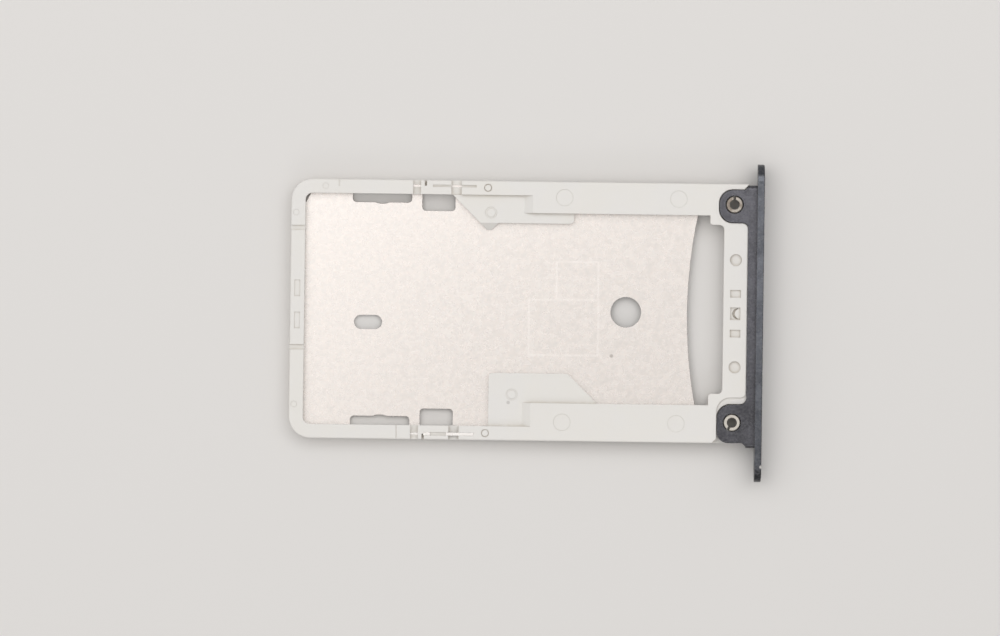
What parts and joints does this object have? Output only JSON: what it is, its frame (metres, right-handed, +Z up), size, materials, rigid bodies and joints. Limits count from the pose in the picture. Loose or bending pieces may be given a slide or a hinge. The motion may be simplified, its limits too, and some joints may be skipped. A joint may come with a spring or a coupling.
{
  "type": "sim card tray",
  "caption": "Slide-out card tray for a phone: pale moulded frame round a stamped steel floor with stepped card pockets, and a dark metal end cap with an eject pin hole.",
  "frame": {"origin": "under the middle of the whole tray, level with the underside of the end cap", "axes": "+X from the far end that goes in first to the end cap, +Y across the tray, +Z up out of the card pockets"},
  "size_m": [0.0308, 0.0208, 0.0022],
  "materials": {
    "moulded_plastic": "fine satin moulding, pale warm grey",
    "satin_stainless": "bright satin rolled sheet",
    "dark_anodised": "fine blasted and anodised, dark slate grey",
    "pin_steel": "dull rolled spring steel"
  },
  "bodies": {
    "root": {"carrier_frame": "moulded_plastic", "floor_plate": "satin_stainless", "end_cap": "dark_anodised", "upper_pin": "pin_steel", "lower_pin": "pin_steel"}
  },
  "joints": []
}
